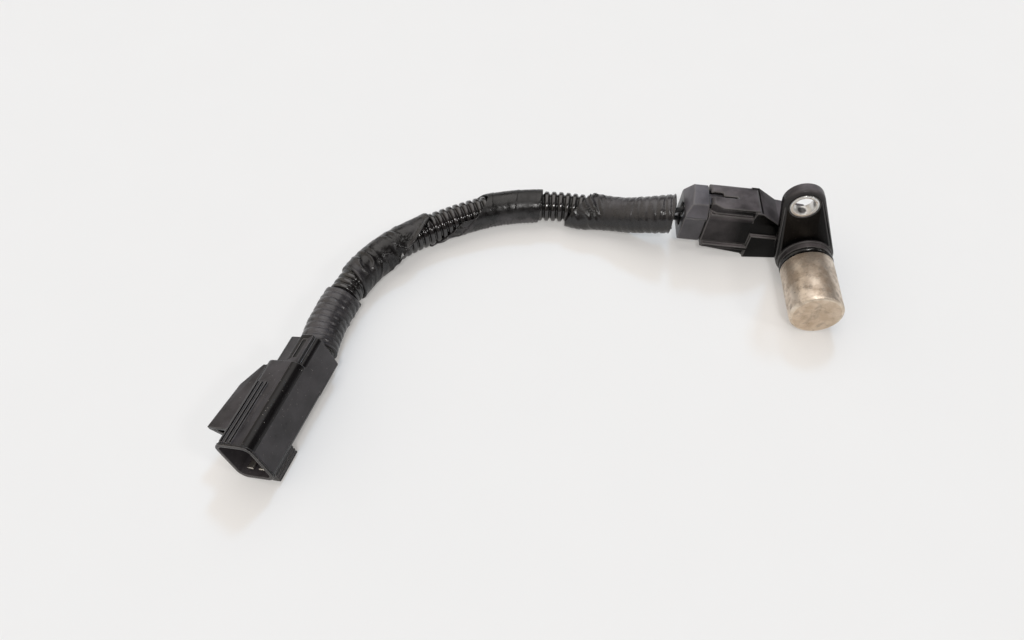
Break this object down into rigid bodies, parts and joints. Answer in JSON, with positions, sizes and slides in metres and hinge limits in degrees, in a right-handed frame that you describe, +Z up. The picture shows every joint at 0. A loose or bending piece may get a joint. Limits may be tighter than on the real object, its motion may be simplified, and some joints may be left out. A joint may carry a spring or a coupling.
{
  "type": "crankshaft position sensor",
  "caption": "Crankshaft position sensor with a round metal-cased probe, a bolt ear with a metal bush, a plugged side connector and a taped corrugated lead that ends in a socket housing.",
  "frame": {"origin": "on the probe's axis, where the metal can leaves its collar", "axes": "-Y along the probe towards its sensing end, +Z up as the part lies on its can"},
  "size_m": [0.1954, 0.1186, 0.0402],
  "materials": {
    "body_plastic": "moulded black, satin",
    "can_metal": "drawn steel, tarnished",
    "ring_rubber": "smooth rubber",
    "bush_metal": "bare, lightly worn",
    "soft_iron": "bare",
    "magnet_alloy": "ground",
    "bobbin_plastic": "moulded, natural",
    "enamelled_copper": "enamelled winding",
    "tinned_brass": "tinned",
    "plug_plastic": "moulded black, satin",
    "retainer_plastic": "moulded black",
    "seal_rubber": "silicone, matt",
    "wire_insulation": "extruded black",
    "conduit_plastic": "corrugated, worn",
    "loom_tape": "wrinkled vinyl tape, dusty",
    "tail_plastic": "moulded black, worn satin"
  },
  "bodies": {
    "root": {"sensor_body": "body_plastic", "probe_can": "can_metal", "o_ring": "ring_rubber", "ear_bush": "bush_metal", "pole_piece": "soft_iron", "magnet": "magnet_alloy", "bobbin": "bobbin_plastic", "coil": "enamelled_copper", "terminal_upper": "tinned_brass", "terminal_lower": "tinned_brass", "plug_housing": "plug_plastic", "plug_retainer": "retainer_plastic", "plug_seal": "seal_rubber", "receptacle_upper": "tinned_brass", "receptacle_lower": "tinned_brass", "plug_wire_seal_upper": "seal_rubber", "plug_wire_seal_lower": "seal_rubber", "wire_upper": "wire_insulation", "wire_lower": "wire_insulation", "conduit": "conduit_plastic", "tape_wrap_1": "loom_tape", "tape_wrap_2": "loom_tape", "tape_wrap_3": "loom_tape", "tape_wrap_4": "loom_tape", "tail_housing": "tail_plastic", "tail_retainer": "retainer_plastic", "tail_pin_left": "tinned_brass", "tail_pin_right": "tinned_brass", "tail_wire_seal_left": "seal_rubber", "tail_wire_seal_right": "seal_rubber"}
  },
  "joints": []
}
